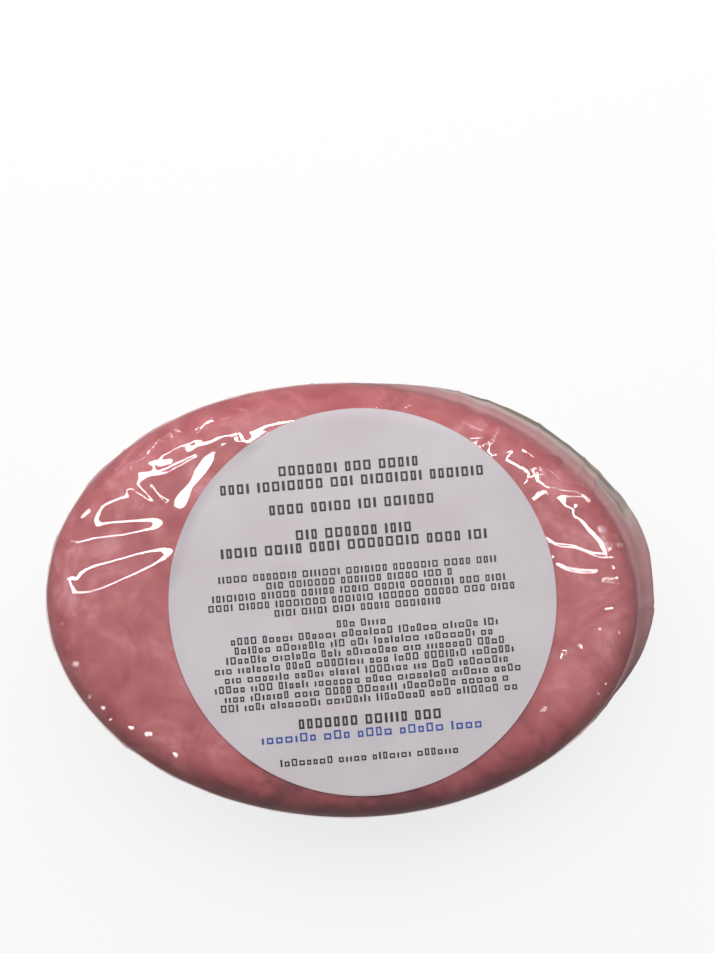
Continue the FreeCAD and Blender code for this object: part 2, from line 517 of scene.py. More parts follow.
@dataclass(frozen=True)
class BarForm:
    """The oval bar's own form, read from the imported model, with its two moulded roundings."""

    half_length: float
    half_width: float
    floor: float
    roof: float
    face_rounding: float = 5.5
    base_rounding: float = 8.0

    @staticmethod
    def from_frame() -> "BarForm":
        """Reads the bar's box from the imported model."""
        low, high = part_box(Node.SOAP.value)
        return BarForm(
            half_length=(high.x - low.x) / 2 / MM,
            half_width=(high.y - low.y) / 2 / MM,
            floor=low.z / MM,
            roof=high.z / MM,
        )

    def outline(self, turn: np.ndarray, offset: np.ndarray) -> tuple[np.ndarray, np.ndarray]:
        """Points at a distance outside the oval, measured square to it.

        Args:
            turn: the oval's own angle, in radians.
            offset: distance outside the oval. Negative is inside.

        Returns:
            The points' x and y.
        """
        normal_x, normal_y = self.outward(turn)
        x = self.half_length * np.cos(turn) + normal_x * offset
        y = self.half_width * np.sin(turn) + normal_y * offset
        return x, y

    def outward(self, turn: np.ndarray) -> tuple[np.ndarray, np.ndarray]:
        """The direction square to the oval at some turns.

        Args:
            turn: the oval's own angle, in radians.

        Returns:
            The direction's x and y.
        """
        x = np.cos(turn) / self.half_length
        y = np.sin(turn) / self.half_width
        length = np.hypot(x, y)
        return x / length, y / length

    def outside(self, x: np.ndarray, y: np.ndarray) -> np.ndarray:
        """How far points lie outside the oval, measured square to it.

        Args:
            x: the points' x.
            y: the points' y.

        Returns:
            Distances. Negative is inside.
        """
        turn = np.arctan2(y / self.half_width, x / self.half_length)
        for _ in range(12):
            on_x, on_y = self.outline(turn, np.zeros_like(turn))
            along_x = -self.half_length * np.sin(turn)
            along_y = self.half_width * np.cos(turn)
            speed = np.hypot(along_x, along_y)
            slip = ((x - on_x) * along_x + (y - on_y) * along_y) / speed
            turn = turn + 0.6 * slip / speed
        on_x, on_y = self.outline(turn, np.zeros_like(turn))
        normal_x, normal_y = self.outward(turn)
        return (x - on_x) * normal_x + (y - on_y) * normal_y

    def lengths(self) -> tuple[np.ndarray, np.ndarray]:
        """Turns all round the oval, and the length along it from +X to each."""
        fine = np.linspace(0, FULL_TURN, 4001)
        steps = np.hypot(np.diff(self.half_length * np.cos(fine)), np.diff(self.half_width * np.sin(fine)))
        return fine, np.concatenate([[0.0], np.cumsum(steps)])

    def length_around(self) -> float:
        """The length of the whole oval."""
        return float(self.lengths()[1][-1])

    def around(self, turn: np.ndarray) -> np.ndarray:
        """The length along the oval from +X to each turn, as a share of the whole way round."""
        fine, length = self.lengths()
        return np.interp(turn, fine, length / length[-1])


def profile(form: BarForm, clearance: float, counts: tuple[int, int, int]) -> list[tuple[float, ...]]:
    """The rows of a skin over the bar's edge, from the flat underside up to the flat face.

    Args:
        form: the bar.
        clearance: how far the skin lies outside the bar.
        counts: steps over the base rounding, up the wall and over the face rounding.

    Returns:
        For each row its offset outside the oval, its height, and the two parts of its outward
        direction: level and upward.
    """
    rows = []
    base, wall, face = counts
    low_centre = form.floor + form.base_rounding
    high_centre = form.roof - form.face_rounding
    for step in range(base + 1):
        lean = math.pi / 2 * step / base
        reach = form.base_rounding + clearance
        offset = -form.base_rounding + reach * math.sin(lean)
        rows.append((offset, low_centre - reach * math.cos(lean), math.sin(lean), -math.cos(lean)))
    for step in range(1, wall):
        height = low_centre + (high_centre - low_centre) * (step / wall) ** WALL_ROWS_UPWARD
        rows.append((clearance, height, 1.0, 0.0))
    for step in range(face + 1):
        lean = math.pi / 2 * (1 - step / face)
        reach = form.face_rounding + clearance
        offset = -form.face_rounding + reach * math.sin(lean)
        rows.append((offset, high_centre + reach * math.cos(lean), math.sin(lean), math.cos(lean)))
    return rows


def skin_mesh(name: str, rings: np.ndarray, foot: tuple[float, float, float],
              crown: tuple[float, float, float]) -> bpy.types.Object:
    """Makes a closed skin from rings of points, with a fan at each end.

    Args:
        name: the new object's name.
        rings: the points, ring by ring from the foot to the crown, in millimetres.
        foot: the point that closes the first ring.
        crown: the point that closes the last ring.

    Returns:
        The new object, shaded smooth.
    """
    ring_count, columns, _ = rings.shape
    points = [tuple(p * MM for p in foot), tuple(p * MM for p in crown)]
    points += [tuple(p) for p in (rings.reshape(-1, 3) * MM).tolist()]
    faces = []
    for ring in range(ring_count - 1):
        low = 2 + ring * columns
        for column in range(columns):
            after = (column + 1) % columns
            faces.append((low + column, low + after, low + columns + after, low + columns + column))
    last = 2 + (ring_count - 1) * columns
    for column in range(columns):
        after = (column + 1) % columns
        faces.append((0, 2 + after, 2 + column))
        faces.append((1, last + column, last + after))
    mesh = bpy.data.meshes.new(name)
    mesh.from_pydata(points, [], faces)
    mesh.polygons.foreach_set("use_smooth", [True] * len(mesh.polygons))
    mesh.update()
    thing = bpy.data.objects.new(name, mesh)
    bpy.context.scene.collection.objects.link(thing)
    return thing


def settle(thing: bpy.types.Object, material: bpy.types.Material, slot: Slot, *nodes: Node) -> None:
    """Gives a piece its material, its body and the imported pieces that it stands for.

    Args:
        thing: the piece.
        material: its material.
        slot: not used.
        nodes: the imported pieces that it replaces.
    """
    if not thing.data.materials:
        thing.data.materials.append(material)
    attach(thing, "root")
    if nodes:
        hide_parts(*[n.value for n in nodes])
    LOG.info("%s: %d faces", thing.name, len(thing.data.polygons))


@dataclass
class SoapBar:
    """The poured bar, with the slight unevenness of a hand-poured face."""

    form: BarForm
    columns: int = 360
    flat_rows: int = 26
    unevenness: float = 0.12
    wave_mm: float = 7.0

    def build(self, material: bpy.types.Material) -> bpy.types.Object:
        """Builds the bar.

        Args:
            material: the soap's material.

        Returns:
            The bar's object.
        """
        turn = np.linspace(0, FULL_TURN, self.columns, endpoint=False)
        side = profile(self.form, 0.0, (14, 8, 14))
        flat = self.form.face_rounding
        rings = []
        base_x, base_y = self.form.outline(turn, np.full_like(turn, -self.form.base_rounding))
        for step in range(1, self.flat_rows):
            share = step / self.flat_rows
            rings.append(np.stack([base_x * share, base_y * share, np.full_like(turn, self.form.floor)], 1))
        for offset, height, _, _ in side:
            x, y = self.form.outline(turn, np.full_like(turn, offset))
            rings.append(np.stack([x, y, np.full_like(turn, height)], 1))
        face_x, face_y = self.form.outline(turn, np.full_like(turn, -flat))
        for step in range(self.flat_rows - 1, 0, -1):
            share = step / self.flat_rows
            rings.append(np.stack([face_x * share, face_y * share, np.full_like(turn, self.form.roof)], 1))
        points = np.array(rings)
        waves = Waves(11)
        dent = waves.at(points[..., 0] / self.wave_mm + 40, points[..., 1] / self.wave_mm + 40)
        dent += 0.4 * waves.at(points[..., 0] / 2.6 + 90, points[..., 1] / 2.6 + 20)
        dent = self.unevenness * (1.4 + dent) / 2.8
        middle = (self.form.floor + self.form.roof) / 2
        points[..., 2] += np.where(points[..., 2] > middle, -dent, dent * 0.3)
        centre = (self.form.floor + 0.02, self.form.roof - self.unevenness / 2)
        bar = skin_mesh("soap_bar_poured", points, (0, 0, centre[0]), (0, 0, centre[1]))
        settle(bar, material, Slot.SOAP, Node.SOAP)
        return bar


@dataclass(frozen=True)
class Mound:
    """A long low blister in the film over the flat face."""

    x: float
    y: float
    angle: float
    length: float
    width: float
    height: float

    def lift(self, x: np.ndarray, y: np.ndarray) -> np.ndarray:
        """How far the blister lifts the film at some points."""
        angle = math.radians(self.angle)
        along = (x - self.x) * math.cos(angle) + (y - self.y) * math.sin(angle)
        across = -(x - self.x) * math.sin(angle) + (y - self.y) * math.cos(angle)
        far = (along / self.length) ** 2 + (across / self.width) ** 2
        return self.height * np.exp(-far)


@dataclass(frozen=True)
class Crease:
    """A crease in the film, given by the line of light that it catches on one flank.

    lit is the direction that the lit flank faces, in degrees from +X towards +Y.
    """

    width: float
    height: float
    lit: float
    points: tuple[tuple[float, float], ...]

    def lift(self, x: np.ndarray, y: np.ndarray) -> np.ndarray:
        """How far the crease lifts the film at some points."""
        crest_x = x + self.width * FLANK_SHARE * math.cos(math.radians(self.lit))
        crest_y = y + self.width * FLANK_SHARE * math.sin(math.radians(self.lit))
        best = np.full(x.shape, 1e9)
        share = np.zeros(x.shape)
        count = len(self.points) - 1
        for number, ((x0, y0), (x1, y1)) in enumerate(zip(self.points, self.points[1:])):
            span = (x1 - x0) ** 2 + (y1 - y0) ** 2
            along = np.clip(((crest_x - x0) * (x1 - x0) + (crest_y - y0) * (y1 - y0)) / span, 0, 1)
            far = np.hypot(crest_x - x0 - along * (x1 - x0), crest_y - y0 - along * (y1 - y0))
            share = np.where(far < best, (number + along) / count, share)
            best = np.minimum(best, far)
        taper = np.clip(8 * share * (1 - share) + 0.45, 0, 1)
        return self.height * taper * np.exp(-(best / self.width) ** 2)


# Blisters: two long ones at the left, a low one where light pools at the upper left, and one where the
# film lifts at the label's edge.
MOUNDS = (
    Mound(-29.6, 7.9, 11, 5.9, 1.6, 0.62),
    Mound(-28.7, 2.2, 26, 7.0, 2.2, 1.12),
    Mound(-32.4, 0.4, 15, 2.8, 2.6, 0.46),
    Mound(-28.6, 12.6, 8, 3.2, 1.8, 0.30),
    Mound(-25.2, 19.8, 35, 3.0, 2.0, 0.27),
    Mound(-24.8, 15.7, 20, 2.4, 1.7, 0.18),
    Mound(-21.2, 11.4, 70, 1.9, 1.7, 0.27),
    Mound(-19.0, 15.0, 62, 4.3, 1.5, 0.32),
    Mound(-13.0, 20.6, 10, 2.6, 1.8, 0.20),
)

# Creases over the flat face catch light on the flank that faces +Y. Those over the rounded edge
# catch it on their inner flank, where they turn the slope back.
CREASES = (
    Crease(0.40, 0.17, 315, ((-36.5, 8.8), (-34.8, 10.4), (-33.3, 11.7))),
    Crease(0.50, 0.15, 60, ((-28.2, 15.0), (-26.6, 13.8), (-24.9, 12.6))),
    Crease(0.40, 0.07, 115, ((-23.9, 16.6), (-22.0, 17.6), (-19.8, 18.9))),
    Crease(0.40, 0.13, 45, ((-25.4, 14.9), (-24.2, 13.4), (-23.1, 12.6))),
    Crease(0.35, 0.33, 310, ((-28.6, 17.4), (-26.8, 18.6), (-25.0, 20.2))),
    Crease(0.35, 0.42, 310, ((-25.0, 20.2), (-23.4, 21.6), (-21.5, 22.7))),
    Crease(0.40, 0.08, 300, ((-24.0, 18.6), (-21.5, 20.2), (-18.8, 21.4))),
    Crease(0.35, 0.40, 300, ((-19.8, 22.2), (-18.6, 23.4), (-17.4, 23.9))),
    Crease(0.50, 0.10, 30, ((-13.9, 22.8), (-13.1, 21.5), (-12.9, 20.4))),
    Crease(0.40, 0.15, 300, ((16.3, 22.2), (17.8, 22.7), (19.0, 23.4))),
    Crease(0.40, 0.20, 250, ((19.6, 24.0), (19.0, 22.6), (17.9, 21.2))),
    Crease(0.45, 0.16, 300, ((19.6, 19.9), (21.3, 20.8), (22.4, 21.2))),
    Crease(0.40, 0.28, 240, ((22.6, 21.3), (24.8, 20.2), (26.5, 19.7))),
    Crease(0.45, 0.44, 240, ((26.5, 19.7), (28.1, 19.4))),
    Crease(0.45, 0.18, 260, ((27.6, 18.8), (26.1, 18.5), (24.6, 18.7))),
    Crease(0.35, 0.10, 150, ((24.1, 17.9), (23.5, 16.4))),
    Crease(0.60, 0.11, 110, ((26.4, 15.8), (25.4, 15.2), (24.6, 14.5))),
    Crease(0.50, 0.12, 260, ((26.4, 16.0), (28.8, 15.8))),
    Crease(0.45, 0.27, 230, ((28.8, 15.8), (30.9, 15.5), (32.1, 14.8), (33.5, 13.1))),
    Crease(0.40, 0.18, 205, ((33.3, 11.4), (34.6, 11.0))),
    Crease(0.40, 0.16, 205, ((34.4, 10.9), (34.3, 9.9), (36.1, 9.9))),
    Crease(0.45, 0.10, 75, ((26.2, 9.7), (27.9, 8.7), (30.0, 8.6), (32.3, 7.8), (34.5, 7.2))),
    Crease(0.45, 0.06, 240, ((34.5, 7.2), (36.4, 6.9), (37.3, 5.7))),
    Crease(0.50, 0.12, 75, ((27.1, 7.6), (27.7, 6.3), (29.7, 5.5), (31.8, 5.3), (33.6, 5.5))),
    Crease(0.40, 0.09, 90, ((33.9, 4.3), (35.4, 4.2), (37.1, 4.3))),
)
FLANK_SHARE = 0.6  # how far the line of light lies from a crease's crest, in its widths

# Short nicks of light where the film is pinched: x, y, direction in degrees, length, width, height.
# They lie along the lower left edge, and in a loose scatter at the right.
NICKS = (
    (-37.0, -3.6, -20, 0.7, 0.5, 0.28),
    (-35.3, -8.8, -15, 1.3, 0.6, 0.40),
    (-32.9, -13.1, -42, 1.4, 0.7, 0.74),
    (-31.2, -14.3, -25, 1.1, 0.6, 0.53),
    (-29.9, -15.8, -35, 1.4, 0.7, 0.76),
    (-27.6, -16.8, -20, 1.2, 0.6, 0.49),
    (-25.2, -17.6, -20, 1.2, 0.6, 0.38),
    (-26.9, -18.7, -25, 1.3, 0.7, 0.76),
    (-24.5, -19.2, -15, 1.2, 0.6, 0.55),
    (-21.3, -20.1, -40, 1.0, 0.6, 0.56),
    (-16.8, -22.4, -10, 1.4, 0.6, 0.46),
    (34.4, 0.5, 10, 1.3, 0.32, 0.08),
    (35.4, -0.1, -20, 0.7, 0.32, 0.09),
    (37.2, 0.0, 60, 0.5, 0.32, 0.11),
    (33.6, -2.0, -15, 0.6, 0.32, 0.09),
    (36.0, -2.9, 40, 0.7, 0.32, 0.13),
    (31.2, -4.2, -45, 0.8, 0.32, 0.13),
    (28.8, -6.2, 65, 1.1, 0.4, 0.28),
    (33.4, -11.8, 60, 1.4, 0.45, 0.58),
    (34.6, -10.2, 55, 1.0, 0.45, 0.48),
    (26.4, -13.3, 55, 0.8, 0.4, 0.24),
)


def nick(x: float, y: float, angle: float, length: float, width: float, height: float) -> Crease:
    """The short crease of one nick, lit on the flank that faces +Y.

    Args:
        x: where it starts.
        y: where it starts.
        angle: its direction, in degrees.
        length: its length.
        width: its width.
        height: how far it stands off.

    Returns:
        The crease.
    """
    end_x = x + length * math.cos(math.radians(angle))
    end_y = y + length * math.sin(math.radians(angle))
    return Crease(width, height, angle + 90, ((x, y), (end_x, end_y)))


@dataclass(frozen=True)
class FaceRelief:
    """The film's relief over the labelled face, which the label's own edge follows."""

    label_centre: tuple[float, float]
    label_radius: float
    half_length: float
    half_width: float
    blister_mm: float = 4.6
    blister_height: float = 0.06
    ripple_mm: float = 1.9
    ripple_height: float = 0.008
    rim_ripple_mm: tuple[float, float] = (1.7, 0.8)
    rim_ripple_height: tuple[float, float] = (0.05, 0.02)
    busy_places: tuple[float, ...] = (0, 30, 75, 100, 118, 150, 172, 195, 230, 262, 300, 335, 360)
    busy_shares: tuple[float, ...] = (
        0.8, 1.0, 0.85, 0.6, 1.0, 1.0, 0.55, 0.45, 0.75, 0.12, 0.12, 0.4, 0.8,
    )

    def busy(self, x: np.ndarray, y: np.ndarray) -> np.ndarray:
        """How crumpled the film is at some points: most at upper left and right, least below."""
        degrees = np.degrees(np.arctan2(y / self.half_width, x / self.half_length)) % 360
        return np.interp(degrees, self.busy_places, self.busy_shares)

    def bare(self, x: np.ndarray, y: np.ndarray) -> np.ndarray:
        """The share of the relief that is left at some points: none well under the label."""
        past = np.hypot(x - self.label_centre[0], y - self.label_centre[1]) - self.label_radius
        return smooth_step(-1.6, 0.2, past)

    def near_rim(self, x: np.ndarray, y: np.ndarray) -> np.ndarray:
        """The share of the fine crumple at some points: most where the face turns over."""
        far_x, far_y = x / self.half_length, y / self.half_width
        far = np.hypot(far_x, far_y) + 1e-9
        inside = (1 - far) * far / np.hypot(far_x / self.half_length, far_y / self.half_width + 1e-12)
        return smooth_step(7.0, 4.5, inside) * smooth_step(0.2, 1.4, inside)

    def crumple(self, x: np.ndarray, y: np.ndarray) -> np.ndarray:
        """The fine crumple's own height at some points, in patches."""
        coarse, fine, patches = Waves(3), Waves(5), Waves(7)
        height = self.rim_ripple_height[0] * coarse.at(
            x / self.rim_ripple_mm[0] + 60, y / self.rim_ripple_mm[0] + 90
        )
        height += self.rim_ripple_height[1] * fine.at(
            x / self.rim_ripple_mm[1] + 90, y / self.rim_ripple_mm[1] + 120
        )
        return height * smooth_step(-0.5, 0.3, patches.at(x / 5.0 + 60, y / 5.0 + 110))

    def lift(self, x: np.ndarray, y: np.ndarray) -> np.ndarray:
        """How far the film stands off at some points over the face.

        Args:
            x: the points' x.
            y: the points' y.

        Returns:
            The film's lift, in millimetres.
        """
        waves, fine = Waves(13), Waves(17)
        busy = self.busy(x, y)
        blister = waves.at(x / self.blister_mm + 50, y / self.blister_mm + 50) * 0.5 + 0.5
        ripple = fine.at(x / self.ripple_mm + 50, y / self.ripple_mm + 50)
        lift = busy * (self.blister_height * blister + self.ripple_height * ripple)
        lift = lift + busy * self.near_rim(x, y) * self.crumple(x, y)
        for fold in MOUNDS + CREASES + tuple(nick(*values) for values in NICKS):
            lift = lift + fold.lift(x, y)
        return lift * self.bare(x, y)


class FilmMesh:
    """Names that the film's mesh and its material share."""

    HAZE = "haze"
    WRAP = "wrap"
    CRUMPLE = "crumple"


@dataclass
class ShrinkWrap:
    """The clear film: one closed skin with blisters, creases, tucks and a loose fold on one side."""

    form: BarForm
    face: FaceRelief
    gap: float = 0.09
    columns: int = 760
    crowding: tuple[float, float] = (0.3, 0.4)
    flat_rows: tuple[int, int] = (6, 66)
    side_rows: tuple[int, int, int] = (8, 14, 34)
    flat_reach: float = 18.5
    under_label: float = 1.8
    tuck_count: int = 64
    tuck_height: float = 0.14
    rim_crease_mm: float = 0.9
    rim_crease_height: float = 0.05
    fold_reach: float = 3.8
    fold_height: float = 16.0
    fold_outline: tuple[tuple[float, float], ...] = (
        (-44, 0.0),
        (-32, 0.16),
        (-20, 0.5),
        (-10, 0.76),
        (18, 1.0),
        (26, 0.86),
        (34, 0.72),
        (58, 0.66),
        (71, 0.43),
        (83, 0.16),
        (96, 0.0),
    )

    def turns(self) -> np.ndarray:
        """The oval's angle at each column, with the columns drawn together at both ends and at +Y."""
        to_top, to_ends = self.crowding
        fine = np.linspace(0, FULL_TURN, 4001)
        crowded = fine + to_top * (1 - np.cos(fine)) + to_ends * np.sin(2 * fine) / 2
        return np.interp(np.linspace(0, FULL_TURN, self.columns, endpoint=False), crowded, fine)

    def crest(self, turn: np.ndarray) -> np.ndarray:
        """How far the loose fold's crest stands out at some turns."""
        degrees = np.degrees(np.arctan2(np.sin(turn), np.cos(turn)))
        angles = [a for a, _ in self.fold_outline]
        shares = [s for _, s in self.fold_outline]
        rounded = [
            np.interp(degrees + nudge, angles, shares, left=0.0, right=0.0)
            for nudge in (-6, -3, 0, 3, 6)
        ]
        return self.fold_reach * sum(rounded) / len(rounded)

    def label_depth(self, turn: np.ndarray) -> np.ndarray:
        """How far inside the oval each column meets the label's edge."""
        rim_x, rim_y = self.form.outline(turn, np.zeros_like(turn))
        normal_x, normal_y = self.form.outward(turn)
        from_x, from_y = rim_x - self.face.label_centre[0], rim_y - self.face.label_centre[1]
        square = from_x * normal_x + from_y * normal_y
        spread = from_x ** 2 + from_y ** 2 - self.face.label_radius ** 2
        return square - np.sqrt(np.clip(square ** 2 - spread, 0, None))

    def rows(self, turn: np.ndarray) -> np.ndarray:
        """The film's rows, from the underside to under the label.

        Args:
            turn: the oval's angle at each column.

        Returns:
            For each row, the four values of profile() at each column.
        """
        under, over = self.flat_rows
        start, end = -self.flat_reach, -self.form.base_rounding
        rows = [
            (start + (end - start) * step / under, self.form.floor - self.gap, 0.0, -1.0)
            for step in range(1, under)
        ]
        rows += profile(self.form, self.gap, self.side_rows)
        rows = np.repeat(np.array(rows)[:, :, None], self.columns, 2)
        start = -self.form.face_rounding
        depth = np.clip(self.label_depth(turn) + self.under_label, 2 * self.under_label - start, None)
        inward = start - (depth + start) * (np.arange(1, over) / over)[:, None]
        flat = [inward, np.full_like(inward, self.form.roof + self.gap)]
        flat += [np.zeros_like(inward), np.ones_like(inward)]
        return np.concatenate([rows, np.stack(flat, 1)], 0)

    def build(self, material: bpy.types.Material) -> bpy.types.Object:
        """Builds the film.

        Args:
            material: the film's material.

        Returns:
            The film's object.
        """
        turn = self.turns()
        rows = self.rows(turn)
        turn = turn[None, :]
        offset, height, level, upward = rows[:, 0], rows[:, 1], rows[:, 2], rows[:, 3]
        x, y = self.form.outline(turn, offset)
        z = height
        over_face = smooth_step(0.0, 0.25, upward)
        lift = self.face.lift(x, y) * over_face + self.side_lift(turn, x, y, z, level)
        normal_x, normal_y = self.form.outward(turn)
        out, fold_haze = self.fold(turn, z, level)
        around = self.form.around(turn) * self.form.length_around()
        wrap = np.stack([around + 0 * z, z - offset, 0 * z], 2)
        patches = smooth_step(-0.1, 0.5, Waves(41).at(x / 3.6 + 70, y / 3.6 + 150))
        crumple = smooth_step(0.15, 0.6, level) * self.face.busy(x, y) * patches * (upward > -0.2)
        haze = np.clip(fold_haze + self.side_haze(x, y, level), 0, 1)
        x = x + normal_x * (level * lift + out)
        y = y + normal_y * (level * lift + out)
        z = z + upward * lift
        film = skin_mesh(
            "shrink_film", np.stack([x, y, z], 2),
            (0, 0, self.form.floor - self.gap), (0, 0, self.form.roof + self.gap),
        )
        self.store(film, FilmMesh.HAZE, haze)
        self.store(film, FilmMesh.CRUMPLE, crumple)
        self.store(film, FilmMesh.WRAP, wrap)
        settle(film, material, Slot.FILM, Node.FILM)
        return film

    def store(self, film: bpy.types.Object, name: str, values: np.ndarray) -> None:
        """Keeps a value, or a vector, at each point of the film's mesh.

        Args:
            film: the film's object.
            name: the attribute's name.
            values: the values, row by row, without the two points that close the skin.
        """
        vector = values.ndim == 3
        layer = film.data.attributes.new(name, "FLOAT_VECTOR" if vector else "FLOAT", "POINT")
        ends = np.zeros(6 if vector else 2)
        layer.data.foreach_set("vector" if vector else "value", np.concatenate([ends, values.ravel()]))

    def side_lift(self, turn: np.ndarray, x: np.ndarray, y: np.ndarray, z: np.ndarray,
                  level: np.ndarray) -> np.ndarray:
        """The tucks that run down the rounded edge, and the fine creases along the rim.

        Args:
            turn: the oval's angle at each column.
            x: the points' x.
            y: the points' y.
            z: the points' z.
            level: the level part of the outward direction, row by row.

        Returns:
            How far the film stands off at each point.
        """
        waves, fine = Waves(23), Waves(27)
        around = self.form.around(turn)
        side = smooth_step(0.3, 0.9, level)
        busy = self.face.busy(x, y)
        walk = around * self.tuck_count + 0.5 * waves.at(x / 3.0 + 150, y / 3.0 + 150)
        tuck = (1 - np.abs(waves.at(walk, z / 9.0 + 20, self.tuck_count))) ** 4
        drift = 0.8 * waves.at(x / 4 + 70, y / 4 + 30)
        count = 40
        crease = (1 - np.abs(fine.at(around * count, z / self.rim_crease_mm + drift, count))) ** 3
        lift = self.tuck_height * tuck * (0.3 + 0.7 * busy) + self.rim_crease_height * crease * busy
        return lift * side

    def side_haze(self, x: np.ndarray, y: np.ndarray, level: np.ndarray) -> np.ndarray:
        """How cloudy the crumpled film is where it goes over the rim."""
        patches = Waves(31).at(x / 2.2 + 90, y / 2.2 + 90) * 0.5 + 0.5
        # Over the rim this haze takes the film's pale pink cloud: partly the crumpled film's own haze,
        # partly painted light over the bar's shaded rim.
        rim = smooth_step(0.4, 0.95, level) * self.face.busy(x, y) * patches
        return 0.2 * rim + 0.02 * smooth_step(0.85, 1.0, level)

    def fold(self, turn: np.ndarray, z: np.ndarray, level: np.ndarray) -> tuple[np.ndarray, np.ndarray]:
        """The loose fold: film drawn out from the wall into a thin crest.

        Args:
            turn: the oval's angle at each column.
            z: the points' heights.
            level: the level part of the outward direction, row by row.

        Returns:
            How far each point moves out, and the haze of the fold's layers, with a low pale pink haze next
            to the bar that is painted light over its shaded edge.
        """
        crest = self.crest(turn)
        below = np.exp(-(np.clip(self.fold_height - z, 0, None) / 3.4) ** 1.3)
        above = np.exp(-(np.clip(z - self.fold_height, 0, None) / 2.6) ** 1.3)
        share = below * above * smooth_step(0.1, 0.75, level)
        waves = Waves(37)
        walk = np.degrees(turn)
        wobble = waves.at(walk / 7.0 + 80, z / 3.0 + 40)
        pleat = waves.at(walk / 9.0 + 120, z / 0.6 + 120 + 0.5 * wobble)
        out = crest * share * (1 + 0.06 * wobble) + 0.1 * pleat * share * np.sqrt(crest / self.fold_reach)
        streak = 0.78 + 0.3 * waves.at(walk / 12.0 + 160, z / 0.4 + 60)
        reach = crest * share
        degrees = np.degrees(np.arctan2(np.sin(turn), np.cos(turn)))
        smoky = 0.45 + 0.55 * smooth_step(12, 34, degrees)
        # The first term is a low pale pink haze next to the bar: painted light over the bar's shaded edge.
        # The rest is the grey of the fold's layers.
        haze = 0.36 * smooth_step(0.02, 0.4, reach) + smooth_step(0.6, 1.8, reach) * (smoky * streak - 0.36)
        return out, haze


@dataclass(frozen=True)
class PrintLine:
    """One row of plain printed boxes: its place above the label's centre, its sizes and its words."""

    height: float
    half_width: float
    tall: float
    wide: float
    stroke: float
    ragged: bool = True
    shift: float = 0.0

    def boxes(self, draw: random.Random) -> list[tuple[float, float, float, float, float]]:
        """Lays the row's boxes, from left to right, in words of a few boxes each.

        Args:
            draw: the source of the words' lengths.

        Returns:
            For each box its left, bottom, right and top, and the width of its stroke.
        """
        laid = []
        gap = self.wide * 0.42
        low = self.height - self.tall / 2
        place = self.shift - self.half_width
        right = self.shift + self.half_width
        while place < right - self.wide:
            for _ in range(draw.choice((3, 4, 5, 6, 7, 8))):
                width = draw.choice((self.stroke * 1.3, self.wide * 0.85, self.wide, self.wide * 1.1))
                if place + width > right:
                    break
                top = low + self.tall * (draw.choice((0.72, 0.72, 1.0)) if self.ragged else 1.0)
                laid.append((place, low, place + width, top, self.stroke))
                place += width + gap
            place += self.wide * 0.85
        return laid


def box_rings(box: tuple[float, float, float, float, float]) -> tuple[list, list]:
    """The corners of a printed box: its outer edge, and its inner edge where it is open.

    Args:
        box: its left, bottom, right and top, and the width of its stroke.

    Returns:
        The outer corners and the inner corners, anticlockwise. A bar has no inner corners.
    """
    left, low, right, top, stroke = box
    outer = [(left, low), (right, low), (right, top), (left, top)]
    if right - left < stroke * 2.6:
        return outer, []
    near, far = left + stroke, right - stroke
    return outer, [(near, low + stroke), (far, low + stroke), (far, top - stroke), (near, top - stroke)]


